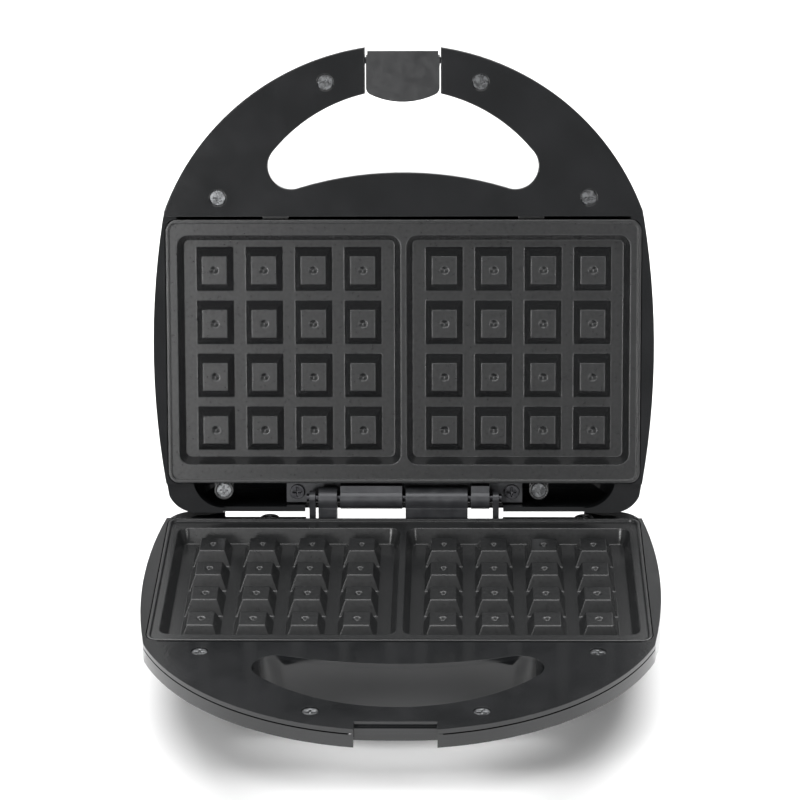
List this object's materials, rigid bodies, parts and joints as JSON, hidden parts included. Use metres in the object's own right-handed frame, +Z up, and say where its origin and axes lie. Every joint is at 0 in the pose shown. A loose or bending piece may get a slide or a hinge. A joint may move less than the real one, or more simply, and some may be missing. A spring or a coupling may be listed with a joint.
{
  "type": "waffle maker",
  "caption": "Twin-plate waffle maker with a hinged lid shown open, an arched handle with a hand hole on each half, a swinging latch and a full set of heating parts inside",
  "frame": {"origin": "middle of the footprint of the open appliance, on the worktop", "axes": "+Z up, -Y towards the person who opens it, +X to that person's right; the lid stands open at rest"},
  "size_m": [0.228, 0.2706, 0.2536],
  "materials": {
    "housing": "high-gloss black moulding",
    "bezel": "gloss black moulding, a little softer than the housing",
    "coated_plate": "die-cast aluminium with satin dark non-stick coating",
    "screw": "bright plated",
    "heater": "oxidised steel sheath",
    "zinc_sheet": "zinc-plated sheet",
    "reflector": "mill-finish sheet",
    "hinge": "dark grey satin coat",
    "rubber": "soft matte",
    "ceramic": "unglazed insulator",
    "brass": "bare",
    "wire": "silicone-sleeved lead",
    "red_lens": "tinted clear",
    "green_lens": "tinted clear",
    "board": "circuit board",
    "latch": "satin charcoal moulding"
  },
  "bodies": {
    "base": {"lower_shell": "housing", "lower_bezel": "bezel", "lower_bezel_screws": "screw", "lower_plate": "coated_plate", "lower_plate_screws": "screw", "lower_element": "heater", "lower_element_clips": "zinc_sheet", "lower_reflector": "reflector", "lower_reflector_screws": "screw", "lower_hinge_bracket": "hinge", "lower_hinge_screws": "screw", "feet": "rubber", "cord_gland": "rubber", "terminal_block": "ceramic", "thermostat": "brass", "thermal_fuse": "ceramic", "lower_wires": "wire", "hinge_pin": "screw"},
    "lid": {"upper_shell": "housing", "upper_bezel": "bezel", "upper_bezel_screws": "screw", "upper_plate": "coated_plate", "upper_plate_screws": "screw", "upper_element": "heater", "upper_element_clips": "zinc_sheet", "upper_reflector": "reflector", "upper_reflector_screws": "screw", "upper_hinge_bracket": "hinge", "upper_hinge_screws": "screw", "upper_wires": "wire", "power_light": "red_lens", "ready_light": "green_lens", "lamp_holder": "board", "latch_pin": "screw"},
    "latch": {"latch": "latch"}
  },
  "joints": [
    {"name": "lid_hinge", "type": "hinge", "parent": "base", "child": "lid", "pos_m": [0, 0.07139, 0.0521], "axis": [1, 0, 0], "range_deg": [0, 104.5]},
    {"name": "latch_pivot", "type": "hinge", "parent": "lid", "child": "latch", "pos_m": [0, 0.12103, 0.24646], "axis": [1, 0, 0], "range_deg": [0, 270]}
  ]
}
